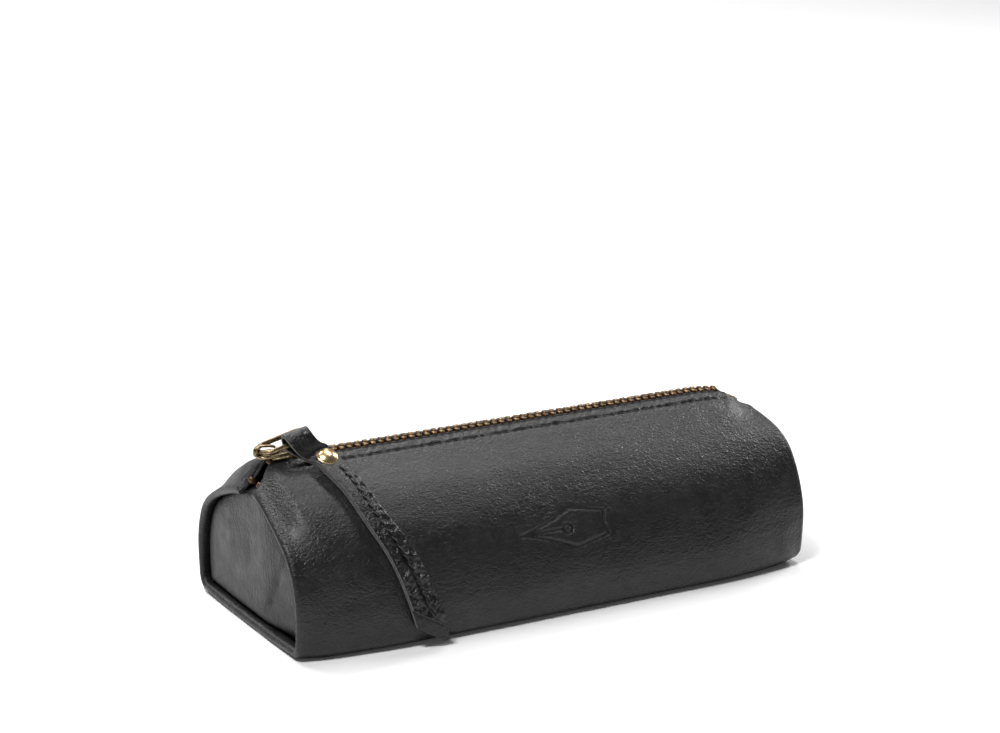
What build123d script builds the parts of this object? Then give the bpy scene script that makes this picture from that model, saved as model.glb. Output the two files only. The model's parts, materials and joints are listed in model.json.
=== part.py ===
"""Fountain pen case: a leather pouch with a flat base, a zipped ridge and a leather pull.

Units are millimetres. X runs along the case, -Y is the front face, +Z is up.
The origin is the centre of the flat base.
"""

from build123d import *
import os
from math import cos, hypot, radians, sin

os.makedirs("parts", exist_ok=True)

# ---------------------------------------------------------------- case
LENGTH = 200.0
RIDGE_HALF = 90.0  # the ridge is straight and level between -RIDGE_HALF and +RIDGE_HALF
LEATHER = 1.4
RIM_DEPTH = 3.5  # the end panels sit this far inside the folded rims
RIM_INSET = 2 * LEATHER + 0.4  # the rim is the leather folded double
FLANGE_DEPTH = 5.0  # the end panel's edge turned into the case
FLANGE = 1.1
FLANGE_TOP = 41.0  # the flange stops below the zip
FLANGE_CUT_ALIGN = (Align.CENTER, Align.CENTER, Align.MIN)
MOUTH = 6.4  # gap between the two leather lips
MOUTH_CUT_HEIGHT = 30.0  # the cut passes through the roof and stops inside the case
OVERCUT = 0.01

# Right half of the outside of the leather, from the base up to the centre of the mouth,
# as (y, z) at the straight ridge and at the two ends.
RIDGE_OUTLINE = [(41, 0), (44.9, 1.9), (46.3, 7.5), (45, 18), (40.8, 29.3), (34.6, 39),
                 (26, 46.8), (14, 53.8), (7, 56.4), (3.2, 57.4), (0, 57.6)]
END_OUTLINE = [(38.4, 0), (42, 1.9), (43.3, 7.5), (42.3, 18), (39, 28.6), (33.8, 38),
               (25.6, 44.4), (14, 48), (7, 49.6), (3.2, 50.2), (0, 50.3)]
# Distance from the middle of the case at which each point starts to move to the end outline.
TAPER_FROM = [60, 60, 60, 65, 75, 85, 90, 90, 90, 90, 90]
ROOF_POINT = 5  # the outline's points from this one on form the roof
CORNER_SLOPE = 0.55  # how fast the base's edge moves inwards with an inset

# ---------------------------------------------------------------- zip
TAPE = 0.6
TAPE_HALF_WIDTH = 14.0
TAPE_BAND = (10.0, 7.0, 3.6)  # places across the tape where its height follows the roof
BEAD_INNER, BEAD_OUTER = 1.85, 3.0
BEAD_NECK = 2.7  # where the bead joins the underside of the tape
BEAD_HALF_HEIGHT = 0.7
ZIP_CENTRE_DROP = 0.4  # the teeth are centred this far under the top of the lips
TOOTH_PITCH = 2.95
TOOTH_HEIGHT = 3.0
TOOTH_LENGTH = 1.3
TOOTH_NOSE, TOOTH_HEEL = 0.35, 2.65  # nearest and furthest reach of a tooth from the centre
STOP_REACH_TOP, STOP_REACH_BOTTOM = 0.6, 0.2
STOP_INSET = 0.2  # between a stop and the end of the tape
STOP_BRIDGE = 0.8
TOOTH_ROW_HALF = 92.3
STOP_LENGTH = 1.8

# ---------------------------------------------------------------- thread
STITCH_PITCH = 3.3
STITCH_LENGTH = 2.5
THREAD_R = 0.35
THREAD_BITE = 0.1  # depth by which a stitch presses into the leather
ZIP_SEAM_Y = 7.4
ZIP_SEAM_HALF = 84.0

# ---------------------------------------------------------------- slider and ring
SLIDER_X = -87.0
SLIDER_WIDTH = 8.4
SLIDER_AHEAD, SLIDER_BEHIND, WEB_AHEAD = 8.4, 4.2, 3.6  # reach from SLIDER_X along the zip
WEB_LENGTH, WEB_WIDTH = 3.2, 0.44  # wedge that joins the plates and parts the teeth
SIDE_WALL, SIDE_WALL_LENGTH, SIDE_WALL_DEPTH = 0.8, 7.0, 0.75
LOWER_PLATE_GAP = 0.3  # between the tape and the slider's lower plate
PLATE = 1.05
PLATE_GAP = 0.25  # between the teeth and the slider's top plate
CROWN_HEIGHT = 3.0
CROWN_WIDTH = 2.6
CROWN = 0.9
RING_WIRE_R = 0.8
RING_LENGTH = 17.8
RING_WIDTH = 8.9
RING_HINGE_X = -94.0
RING_RISE = 13.0  # degrees by which the ring rises along the case at rest

# ---------------------------------------------------------------- pull strap and rivet
STRAP = 1.2
STRAP_TOP_WIDTH = 8.6
STRAP_END_WIDTH = 10.2
FOLD_AT = 12.6  # distance of the fold's middle from the ring's hinge line
FOLD_RADIUS = 2.55
LEAVE_DOWN, LEAVE_ALONG = 3.4, 0.9  # the route's second point, from the fold's middle
FOLD_RISE = 0.9  # height of the fold's middle over the ring's bar
FRONT_END, BACK_END = 0.892, 0.966  # where each tail's end is centred on the strap's route
SECTION_SPACING = 1.3  # above 1, the strap's sections stand closer together near the ring
END_GAP = 0.085  # part of the route between a slanted end and the section before it
LAYER_GAP = 0.03  # half of the gap between the two layers
CUT_SLANT = 46.0  # degrees of the slanted cut across both tails
RIVET_AT = 0.138  # where the rivet sits on the strap's route
RIVET_CAP_R = 3.8
RIVET_CAP_HEIGHT = 1.7
RIVET_RIM = 0.35
RIVET_TAIL_R = 3.1
RIVET_TAIL_HEIGHT = 0.6
RIVET_POST_R = 1.25

END = LENGTH / 2
PANEL_X = END - RIM_DEPTH
PANEL_BACK_X = PANEL_X - LEATHER
TAPE_END_X = PANEL_BACK_X - 0.3
SIDES = {"left": -1, "right": 1}
ROWS = {"front": -1, "back": 1}


# ---------------------------------------------------------------- shared geometry
def taper(x, start):
    """How far a point at x, which tapers from start on, has moved to the end outline, 0 to 1."""
    s = min(max((abs(x) - start) / (END - start), 0), 1)
    return s * s * (3 - 2 * s)


def outline(x, inset=0.0):
    """Right half of the leather's section at x, moved inwards by inset."""
    points = []
    for start, ridge, end in zip(TAPER_FROM, RIDGE_OUTLINE, END_OUTLINE):
        t = taper(x, start)
        points.append((ridge[0] * (1 - t) + end[0] * t, ridge[1] * (1 - t) + end[1] * t))
    moved = [(points[0][0] - CORNER_SLOPE * inset, inset)]
    for before, here, after in zip(points, points[1:], points[2:]):
        dy, dz = after[0] - before[0], after[1] - before[1]
        size = hypot(dy, dz)
        moved.append((here[0] - inset * dz / size, here[1] + inset * dy / size))
    moved.append((0, points[-1][1] - inset))
    return moved


def roof_height(x, y, inset=0.0):
    """Height of the roof over y, at an inset, in the section at x."""
    roof = outline(x, inset)[ROOF_POINT:]
    for (y0, z0), (y1, z1) in zip(roof, roof[1:]):
        if y1 <= abs(y) <= y0:
            return z1 + (z0 - z1) * (abs(y) - y1) / (y0 - y1)
    raise ValueError("y is outside the roof of the case")


def zip_height(x):
    return roof_height(x, 0) - ZIP_CENTRE_DROP


def section(x, inset=0.0):
    """Closed section of the case at x, on a plane that faces +X."""
    right = outline(x, inset)
    whole = right + [(-y, z) for y, z in reversed(right[:-1])]
    with BuildSketch(Plane.YZ.offset(x)) as face:
        with BuildLine():
            Spline(*whole)
            Line(whole[-1], whole[0])
        make_face()
    return face.sketch


def stations(x0, x1, count=5):
    return [x0 + (x1 - x0) * i / count for i in range(count + 1)]


def case_stations(end_x):
    right = stations(TAPER_FROM[0], RIDGE_HALF, 4)[:-1] + stations(RIDGE_HALF, end_x)
    return [-x for x in reversed(right)] + right


def tube(xs, inset=0.0):
    """Solid through the case's sections at xs, at one inset."""
    with BuildPart() as solid:
        for x in xs:
            add(section(x, inset))
        loft(ruled=True)
    return solid.part


def finish(part, name):
    part.label = name
    export_step(part, f"parts/{name}.step")


# ---------------------------------------------------------------- leather body
with BuildPart() as body_wrap:
    add(tube(case_stations(END)))
    add(tube(case_stations(PANEL_X), LEATHER), mode=Mode.SUBTRACT)
    for side in SIDES.values():
        rim_mouth = tube([side * (PANEL_X - OVERCUT), side * (END + OVERCUT)], RIM_INSET)
        add(rim_mouth, mode=Mode.SUBTRACT)
    with Locations((0, 0, zip_height(END))):
        Box(LENGTH + 1, MOUTH, MOUTH_CUT_HEIGHT, mode=Mode.SUBTRACT)
finish(body_wrap.part, "body_wrap")


# ---------------------------------------------------------------- end panels
def end_panel(side):
    """Pillowed leather panel whose edge is turned into the case as a flange."""
    face_x = PANEL_X - 0.05
    back_x = face_x - LEATHER
    edge_inset = LEATHER + 0.1
    flange_inset = edge_inset + 0.15
    flange_xs = [side * (back_x - FLANGE_DEPTH), side * (back_x + 0.3)]
    pillow = [(back_x, edge_inset), (face_x, edge_inset), (face_x + 0.02, RIM_INSET + 0.3),
              (PANEL_X + 1.2, RIM_INSET + 1.3), (PANEL_X + 2.0, RIM_INSET + 3.3)]
    with BuildPart() as flange:
        add(tube(flange_xs, flange_inset))
        add(tube(flange_xs, flange_inset + FLANGE), mode=Mode.SUBTRACT)
        with Locations((side * (back_x - 1 - FLANGE_DEPTH / 2), 0, FLANGE_TOP)):
            Box(FLANGE_DEPTH + 2, 80, 20, align=FLANGE_CUT_ALIGN, mode=Mode.SUBTRACT)
    with BuildPart() as panel:
        for x, inset in pillow:
            add(section(side * x, inset))
        loft(ruled=True)
        add(flange.part)
    return panel.part


for side_name, side in SIDES.items():
    finish(end_panel(side), f"end_panel_{side_name}")


# ---------------------------------------------------------------- thread in the end seams
def end_seam_stitches(side):
    """Row of stitches round the sides and base of an end panel's flange."""
    seam_x = side * (PANEL_BACK_X - FLANGE_DEPTH / 2)
    seam_inset = LEATHER + 0.25 + FLANGE + THREAD_R - THREAD_BITE
    seam = section(seam_x, seam_inset).face().outer_wire()
    count = int(seam.length / STITCH_PITCH)
    with BuildPart() as stitches:
        for i in range(count):
            middle = seam.position_at(i / count)
            if middle.Z < 38:
                along = seam.tangent_at(i / count)
                with BuildSketch(Plane(origin=middle, z_dir=along).offset(-STITCH_LENGTH / 2)):
                    Circle(THREAD_R)
        extrude(amount=STITCH_LENGTH)
    return stitches.part


for side_name, side in SIDES.items():
    finish(end_seam_stitches(side), f"end_seam_stitching_{side_name}")


# ---------------------------------------------------------------- zip tapes
def tape_section(x, row):
    """Section of one zip tape at x: a band under the leather and a bead in the mouth."""
    upper_inset = LEATHER + 0.05
    lower_inset = upper_inset + TAPE
    band = [TAPE_HALF_WIDTH, *TAPE_BAND]
    top = [(y, roof_height(x, y, upper_inset)) for y in band]
    bottom = [(y, roof_height(x, y, lower_inset)) for y in reversed(band)]
    bead_top = zip_height(x) + BEAD_HALF_HEIGHT
    bead_bottom = zip_height(x) - BEAD_HALF_HEIGHT
    bead = [(BEAD_OUTER + 0.1, top[-1][1]), (BEAD_OUTER, bead_top), (BEAD_INNER, bead_top),
            (BEAD_INNER, bead_bottom), (BEAD_NECK, bead_bottom), (BEAD_NECK + 0.05, bottom[0][1])]
    with BuildSketch(Plane.YZ.offset(x)) as face:
        with BuildLine():
            Polyline(*[(row * y, z) for y, z in top + bead + bottom], close=True)
        make_face()
    return face.sketch


for row_name, row in ROWS.items():
    with BuildPart() as tape:
        for x in case_stations(TAPE_END_X):
            add(tape_section(x, row))
        loft(ruled=True)
    finish(tape.part, f"zip_tape_{row_name}")

# ---------------------------------------------------------------- zip teeth and stops
with BuildLine(Plane.XZ) as zip_line:
    Polyline(*[(x, zip_height(x)) for x in case_stations(TAPE_END_X)])
zip_wire = zip_line.wire()


def zip_plane(distance):
    """Plane on the zip's centre line: x along the zip, y across the case, z out of the case."""
    along = zip_wire.tangent_at(distance / zip_wire.length)
    origin = zip_wire.position_at(distance / zip_wire.length)
    return Plane(origin=origin, x_dir=along, z_dir=(-along.Z, 0, along.X))


def tooth_profile(row, reach=TOOTH_NOSE):
    """Side view of a tooth: a nose towards the centre and two jaws over the tape's bead."""
    half, grip = TOOTH_HEIGHT / 2, BEAD_HALF_HEIGHT + 0.02
    neck, heel = BEAD_INNER + 0.02, TOOTH_HEEL
    upper = [(reach, half - 0.5), (reach + 0.45, half), (heel, half), (heel, grip), (neck, grip)]
    lower = [(y, -z) for y, z in reversed(upper)]
    return [(row * y, z) for y, z in upper + lower]


def clamped_block(plane, row, length, reach=TOOTH_NOSE):
    """Metal block clamped on one bead, added to the current part."""
    with BuildSketch(Plane(origin=plane.origin, x_dir=plane.y_dir, z_dir=plane.x_dir)) as profile:
        with BuildLine():
            Polyline(*tooth_profile(row, reach), close=True)
        make_face()
    extrude(profile.sketch, amount=length / 2, both=True)


tooth_count = int(2 * TOOTH_ROW_HALF / TOOTH_PITCH)
first_tooth = zip_wire.length / 2 - (tooth_count - 0.5) * TOOTH_PITCH / 2
for row_name, row in ROWS.items():
    with BuildPart() as teeth:
        for i in range(tooth_count):
            shift = TOOTH_PITCH / 2 if row > 0 else 0
            clamped_block(zip_plane(first_tooth + i * TOOTH_PITCH + shift), row, TOOTH_LENGTH)
    finish(teeth.part, f"zip_teeth_{row_name}")
    with BuildPart() as top_stop:
        clamped_block(zip_plane(STOP_LENGTH / 2 + STOP_INSET), row, STOP_LENGTH, STOP_REACH_TOP)
    finish(top_stop.part, f"zip_top_stop_{row_name}")

with BuildPart() as bottom_stop:
    stop_plane = zip_plane(zip_wire.length - STOP_LENGTH / 2 - STOP_INSET)
    for row in ROWS.values():
        clamped_block(stop_plane, row, STOP_LENGTH, STOP_REACH_BOTTOM)
    with BuildSketch(stop_plane.offset(TOOTH_HEIGHT / 2 - STOP_BRIDGE)):
        Rectangle(STOP_LENGTH, 2)
    extrude(amount=STOP_BRIDGE)
finish(bottom_stop.part, "zip_bottom_stop")

# ---------------------------------------------------------------- thread along the zip
seam_count = int(2 * ZIP_SEAM_HALF / STITCH_PITCH)
seam_height = roof_height(0, ZIP_SEAM_Y) + THREAD_R - THREAD_BITE
for row_name, row in ROWS.items():
    with BuildPart() as zip_seam:
        with Locations((0, row * ZIP_SEAM_Y, seam_height)):
            with GridLocations(STITCH_PITCH, 1, seam_count, 1):
                Cylinder(THREAD_R, STITCH_LENGTH, rotation=(0, 90, 0))
    finish(zip_seam.part, f"zip_stitching_{row_name}")

# ---------------------------------------------------------------- slider
teeth_top = zip_height(0) + TOOTH_HEIGHT / 2
plate_z = teeth_top + PLATE_GAP
lower_plate_top = roof_height(0, SLIDER_WIDTH / 2, LEATHER + 0.05 + TAPE) - LOWER_PLATE_GAP
nose_x, tail_x = SLIDER_X - SLIDER_AHEAD, SLIDER_X + SLIDER_BEHIND
web_x = SLIDER_X - WEB_AHEAD
with BuildPart() as slider_body:
    with BuildSketch(Plane.XY.offset(plate_z)):
        with Locations(((nose_x + tail_x) / 2, 0)):
            RectangleRounded(tail_x - nose_x, SLIDER_WIDTH, 2.2)
    extrude(amount=PLATE)
    with BuildSketch(Plane.XY.offset(lower_plate_top)):
        with Locations(((web_x + tail_x) / 2, 0)):
            RectangleRounded(tail_x - web_x, SLIDER_WIDTH - 0.8, 1.6)
    extrude(amount=-PLATE)
    with BuildSketch(Plane.XY.offset(plate_z)):
        for row in ROWS.values():
            with Locations((SLIDER_X, row * (SLIDER_WIDTH - SIDE_WALL) / 2)):
                Rectangle(SIDE_WALL_LENGTH, SIDE_WALL)
    extrude(amount=-SIDE_WALL_DEPTH)
    with BuildSketch(Plane.XY.offset(lower_plate_top)):
        with Locations((web_x + WEB_LENGTH / 2, 0)):
            Rectangle(WEB_LENGTH, WEB_WIDTH)
    extrude(amount=plate_z - lower_plate_top)
finish(slider_body.part, "slider_body")

crown_z = plate_z + PLATE
crown_x0, crown_x1 = RING_HINGE_X - RING_WIRE_R - 0.2 - CROWN, SLIDER_X + 0.6
with BuildPart() as slider_crown:
    with BuildSketch(Plane.XZ):
        with BuildLine():
            FilletPolyline((crown_x0, crown_z), (crown_x0, crown_z + CROWN_HEIGHT),
                           (crown_x1 - 1.5, crown_z + CROWN_HEIGHT), (crown_x1, crown_z), radius=1.3)
            Line((crown_x1, crown_z), (crown_x1 - CROWN, crown_z))
            FilletPolyline((crown_x1 - CROWN, crown_z),
                           (crown_x1 - 1.9 - CROWN / 2, crown_z + CROWN_HEIGHT - CROWN),
                           (crown_x0 + CROWN, crown_z + CROWN_HEIGHT - CROWN),
                           (crown_x0 + CROWN, crown_z), radius=0.5)
            Line((crown_x0 + CROWN, crown_z), (crown_x0, crown_z))
        make_face()
    extrude(amount=CROWN_WIDTH / 2, both=True)
finish(slider_crown.part, "slider_crown")

# ---------------------------------------------------------------- pull ring
ring_along = Vector(cos(radians(RING_RISE)), 0, sin(radians(RING_RISE)))
ring_hinge = Vector(RING_HINGE_X, 0, crown_z + RING_WIRE_R + 0.15)
ring_plane = Plane(origin=ring_hinge, x_dir=ring_along, z_dir=ring_along.cross(Vector(0, 1, 0)))
half_width = RING_WIDTH / 2
with BuildPart() as pull_ring:
    with BuildLine(ring_plane) as ring_path:
        FilletPolyline((0, -half_width), (RING_LENGTH, -half_width), (RING_LENGTH, half_width),
                       (0, half_width), radius=[4.2, 1.6, 1.6, 4.2], close=True)
    ring_wire = ring_path.wire()
    with BuildSketch(Plane(origin=ring_wire.position_at(0), z_dir=ring_wire.tangent_at(0))):
        Circle(RING_WIRE_R)
    sweep(path=ring_wire)
finish(pull_ring.part, "pull_ring")

# ---------------------------------------------------------------- pull strap
# The route runs midway between the strap's two layers, from the ring's near bar over the
# front lip and down the front face to the tails.
bar = ring_hinge + ring_along * FOLD_AT - Vector(0, half_width, 0)
leave = Vector(0.12, -0.62, -0.62).normalized()
leave = (leave - ring_along * leave.dot(ring_along)).normalized()
fold_middle = bar + ring_along.cross(Vector(0, 1, 0)) * FOLD_RISE
STRAP_ROUTE = [(-75.6, -9.0, 59.5), (-73.3, -14.2, 56.6), (-70.9, -21.2, 52.5), (-68.8, -28.8, 47.0),
               (-66.9, -34.1, 42.1), (-62.5, -40.6, 33.2), (-59.8, -44.0, 26.1), (-57.6, -46.5, 19.0),
               (-55.7, -48.3, 12.0), (-54.0, -49.2, 5.6), (-53.0, -49.4, 1.2)]
with BuildLine() as strap_line:
    Spline(fold_middle, fold_middle + leave * LEAVE_DOWN + ring_along * LEAVE_ALONG, *STRAP_ROUTE)
strap_edge = strap_line.edge()


def strap_plane(at):
    """Plane at a share of the route: x across the strap, y up it and z out of its front."""
    down = strap_edge.tangent_at(at)
    blend = min(at / RIVET_AT, 1)
    across = ring_along * (1 - blend) + Vector(1, 0, 0) * blend
    across = (across - down * across.dot(down) * blend).normalized()
    return Plane(origin=strap_edge.position_at(at), x_dir=across, z_dir=down.cross(across))


def layer_gap(at):
    """Distance of each layer's middle from the route: round the ring, then face to face."""
    blend = min(at / RIVET_AT, 1)
    return FOLD_RADIUS * (1 - blend) + (STRAP / 2 + LAYER_GAP) * blend


def strap_width(at):
    return STRAP_TOP_WIDTH + (STRAP_END_WIDTH - STRAP_TOP_WIDTH) * at


def strap_face(middle, across, outward, width):
    """Section of the strap: width runs across, thickness outward from the loop's inside."""
    with BuildSketch(Plane(origin=middle, x_dir=across, z_dir=across.cross(outward))) as face:
        Rectangle(width, STRAP)
    return face.sketch


def layer_faces(sign, end_at, count=14):
    """Sections of the front (+1) or back (-1) layer, from the ring to its slanted end."""
    faces = []
    for i in range(count + 1):
        at = (end_at - END_GAP) * (i / count) ** SECTION_SPACING
        here = strap_plane(at)
        centre = here.origin + here.z_dir * (sign * layer_gap(at))
        faces.append(strap_face(centre, here.x_dir, here.z_dir * sign, strap_width(at)))
    end = strap_plane(end_at)
    slant = radians(CUT_SLANT)
    cut = end.x_dir * cos(slant) - end.y_dir * sin(slant)
    centre = end.origin + end.z_dir * (sign * layer_gap(end_at))
    faces.append(strap_face(centre, cut, end.z_dir * sign, strap_width(end_at) / cos(slant)))
    return faces


def fold_faces(steps=6):
    """Sections round the ring's bar, from the back layer to the front layer."""
    start = strap_plane(0)
    faces = []
    for i in range(1, steps):
        turn = radians(180 * i / steps)
        outward = start.z_dir * -cos(turn) + start.y_dir * sin(turn)
        faces.append(strap_face(fold_middle + outward * FOLD_RADIUS, ring_along, outward, STRAP_TOP_WIDTH))
    return faces


with BuildPart() as pull_strap:
    for face in layer_faces(-1, BACK_END)[::-1] + fold_faces() + layer_faces(1, FRONT_END):
        add(face)
    loft(ruled=True)
    rivet_plane = strap_plane(RIVET_AT)
    with Locations(rivet_plane.location):
        Cylinder(RIVET_POST_R, 6 * STRAP, mode=Mode.SUBTRACT)
finish(pull_strap.part, "pull_strap")

# ---------------------------------------------------------------- rivet
dome_rise = RIVET_CAP_HEIGHT - RIVET_RIM
dome_r = (RIVET_CAP_R**2 + dome_rise**2) / (2 * dome_rise)
with BuildPart() as dome:
    with Locations((0, 0, RIVET_CAP_HEIGHT - dome_r)):
        Sphere(dome_r)
    split(bisect_by=Plane.XY.offset(RIVET_RIM), keep=Keep.TOP)
    with BuildSketch():
        Circle(RIVET_CAP_R)
    extrude(amount=RIVET_RIM)
with BuildPart() as rivet_cap:
    add(dome.part.moved(rivet_plane.offset(STRAP).location))
finish(rivet_cap.part, "rivet_cap")

with BuildPart() as rivet_post:
    with BuildSketch(rivet_plane.offset(-STRAP)):
        Circle(RIVET_POST_R)
    extrude(amount=2 * STRAP)
    with BuildSketch(rivet_plane.offset(-STRAP)):
        Circle(RIVET_TAIL_R)
    extrude(amount=-RIVET_TAIL_HEIGHT)
finish(rivet_post.part, "rivet_post")

# ---------------------------------------------------------------- thread down the strap
SEAM_START, SEAM_END = 0.25, 0.86
strap_seam_count = int(strap_edge.length * (SEAM_END - SEAM_START) / STITCH_PITCH)
with BuildPart() as strap_stitching:
    for i in range(strap_seam_count):
        at = SEAM_START + (SEAM_END - SEAM_START) * i / (strap_seam_count - 1)
        here = strap_plane(at)
        lift = STRAP + THREAD_R - THREAD_BITE
        start = here.origin + here.z_dir * lift + here.y_dir * (STITCH_LENGTH / 2)
        with BuildSketch(Plane(origin=start, z_dir=-here.y_dir)):
            Circle(THREAD_R)
    extrude(amount=STITCH_LENGTH)
finish(strap_stitching.part, "strap_stitching")
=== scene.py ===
"""Looks of the fountain pen case: leather, zip, thread, pull and studio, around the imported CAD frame.

Shapes are worked out in millimetres and become metres when a mesh is made.
X runs along the case, -Y is the front face, +Z is up.
"""

import json
import math

import bpy
import numpy as np
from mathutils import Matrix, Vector


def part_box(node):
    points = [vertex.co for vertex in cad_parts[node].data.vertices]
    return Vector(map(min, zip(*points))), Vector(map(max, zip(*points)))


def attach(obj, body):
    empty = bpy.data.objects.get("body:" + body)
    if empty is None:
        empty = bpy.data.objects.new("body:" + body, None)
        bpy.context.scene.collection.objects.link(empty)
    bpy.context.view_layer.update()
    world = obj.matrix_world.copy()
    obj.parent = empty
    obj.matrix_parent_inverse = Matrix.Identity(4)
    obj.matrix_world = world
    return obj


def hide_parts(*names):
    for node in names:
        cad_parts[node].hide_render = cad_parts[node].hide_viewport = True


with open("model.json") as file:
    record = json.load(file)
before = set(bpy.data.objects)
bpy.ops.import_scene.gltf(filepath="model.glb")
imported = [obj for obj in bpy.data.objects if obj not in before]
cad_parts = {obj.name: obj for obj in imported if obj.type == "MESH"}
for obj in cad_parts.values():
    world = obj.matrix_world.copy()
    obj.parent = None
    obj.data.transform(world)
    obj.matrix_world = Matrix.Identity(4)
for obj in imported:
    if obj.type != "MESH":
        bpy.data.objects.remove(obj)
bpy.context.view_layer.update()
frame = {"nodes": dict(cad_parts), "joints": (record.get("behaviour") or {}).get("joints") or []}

MM = 0.001


def cad_box(node):
    """Lowest and highest corner of a CAD node, in millimetres."""
    low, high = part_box(node)
    return np.array(low) / MM, np.array(high) / MM


# ---------------------------------------------------------------- sizes from the frame
END = cad_box("body_wrap")[1][0]
LIP_TOP = cad_box("body_wrap")[1][2]
TEETH_END = cad_box("zip_teeth_front")[1][0]
SLIDER_LOW, SLIDER_HIGH = cad_box("slider_body")
CROWN_LOW, CROWN_HIGH = cad_box("slider_crown")
JOINTS = {joint["name"]: joint for joint in frame["joints"]}
RING_HINGE = np.array(JOINTS["ring_tilt"]["pos_m"]) / MM
STRAP_HINGE = np.array(JOINTS["strap_swing"]["pos_m"]) / MM
RING_ALONG = -np.array(JOINTS["strap_swing"]["axis"])

# ---------------------------------------------------------------- sizes of the leather
LEATHER = 1.4
RIM_R = 1.6  # the end rims are the leather rolled over on itself
PANEL_X = END - 3.5
RIDGE_HALF = 90.0
MOUTH_HALF = 3.2
# How much further each lip stands aside at the left (-1) and right (1) end, in front and behind.
MOUTH_SPREAD = {(-1, -1): 5.2, (-1, 1): 2.6, (1, -1): 1.7, (1, 1): 1.7}
BASE_HALF = 37.4
LIP_BAND = 9.0  # width of the turned and stitched edge along the zip
SEAM_FROM_LIP = 4.3
STITCH_PITCH = 3.3
ZIP_SINK = 0.3  # how far the zip's line lies below the lips
ZIP_SAG = 3.2  # how far it sinks further between the parted lips at the left end
CORNER_DRAW = 0.05  # share by which the low corners draw in
CORNER_LIFT = 0.9  # how far the base lifts at the corners, and again at the right end
RIDGE_SAG = 1.6  # how far the ridge sinks at the right, past the end of the slider's travel

# Half of the outside of the leather above the flat base, as (y, z), at the ridge and at the ends.
# The soft ends sag differently, so each has its own shape in front (-1) and behind (1).
RIDGE_OUTLINE = [(BASE_HALF, 0), (41.8, 0.35), (44.9, 2.3), (46.3, 7.5), (45, 18), (40.8, 29.3), (34.6, 39),
                 (26, 46.8), (14, 53.8), (7, 56.4), (MOUTH_HALF, LIP_TOP)]
END_BASE = [(BASE_HALF, 0), (39.6, 0.35), (42, 2.3), (43.3, 7.5)]
END_OUTLINES = {
    (-1, -1): END_BASE + [(42.0, 18), (38.6, 28.4), (32.4, 36.8), (23.8, 42.6), (13.6, 48.2), (7, 50.2),
                          (MOUTH_HALF, 50.6)],
    (-1, 1): END_BASE + [(42.3, 18), (39.2, 28.8), (33.6, 36.4), (24.2, 41.8), (13.4, 46.0), (7, 47.8),
                         (MOUTH_HALF, 48.4)],
    (1, -1): END_BASE + [(42.4, 18), (39.8, 29.1), (34.9, 38.8), (28.0, 45.5), (14.5, 50.4), (7, 51.6),
                         (MOUTH_HALF, 52.0)],
    (1, 1): END_BASE + [(42.3, 18), (39, 28.6), (33.8, 38), (25.6, 44.4), (14, 48), (7, 49.6),
                        (MOUTH_HALF, 50.2)],
}
# Distance from the middle of the case at which each point starts to move to the end outline.
TAPER_FROM = {-1: [60, 60, 60, 60, 65, 75, 85, RIDGE_HALF, RIDGE_HALF, RIDGE_HALF, RIDGE_HALF],
              1: [60, 60, 60, 60, 65, 72, 76, 78, 84, 88, 88]}


# ---------------------------------------------------------------- mathematics
class Curve:
    """Smooth curve through points, with its direction given at the start or left free."""

    def __init__(self, points, knots=None, start=None):
        self.points = np.array(points, float)
        steps = np.linalg.norm(np.diff(self.points, axis=0), axis=1)
        self.knots = np.concatenate([[0], np.cumsum(steps)]) if knots is None else knots
        gaps = np.diff(self.knots)
        rise = np.diff(self.points, axis=0) / gaps[:, None]
        count = len(self.points)
        matrix, right = np.zeros((count, count)), np.zeros_like(self.points)
        for i in range(1, count - 1):
            matrix[i, i - 1:i + 2] = 1 / gaps[i - 1], 2 / gaps[i - 1] + 2 / gaps[i], 1 / gaps[i]
            right[i] = 3 * (rise[i - 1] / gaps[i - 1] + rise[i] / gaps[i])
        for i, beside, given in ((0, 1, start), (count - 1, count - 2, None)):
            matrix[i, i], matrix[i, beside] = (2, 1) if given is None else (1, 0)
            right[i] = 3 * rise[min(i, beside)] if given is None else given
        self.slopes = np.linalg.solve(matrix, right)
        self.length = self.knots[-1]

    def __call__(self, u):
        """Points and directions at u."""
        k = np.clip(np.searchsorted(self.knots, u, side="right") - 1, 0, len(self.knots) - 2)
        gap = (self.knots[k + 1] - self.knots[k])[..., None]
        s = (u - self.knots[k])[..., None] / gap
        p0, p1 = self.points[k], self.points[k + 1]
        m0, m1 = self.slopes[k] * gap, self.slopes[k + 1] * gap
        point = ((2 * s**3 - 3 * s**2 + 1) * p0 + (s**3 - 2 * s**2 + s) * m0
                 + (3 * s**2 - 2 * s**3) * p1 + (s**3 - s**2) * m1)
        slope = ((6 * s**2 - 6 * s) * (p0 - p1) + (3 * s**2 - 4 * s + 1) * m0
                 + (3 * s**2 - 2 * s) * m1) / gap
        return point, slope


def smooth(low, high, value):
    """0 below low, 1 above high, and a smooth step between them."""
    s = np.clip((value - low) / (high - low), 0, 1)
    return s * s * (3 - 2 * s)


def bell(value, middle, width):
    return np.exp(-(((value - middle) / width) ** 2))


def unit(v):
    return v / np.linalg.norm(v, axis=-1, keepdims=True)


LATTICE_SIZE = 32
LATTICE = np.random.default_rng(11).uniform(-1, 1, (LATTICE_SIZE,) * 3)


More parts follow.
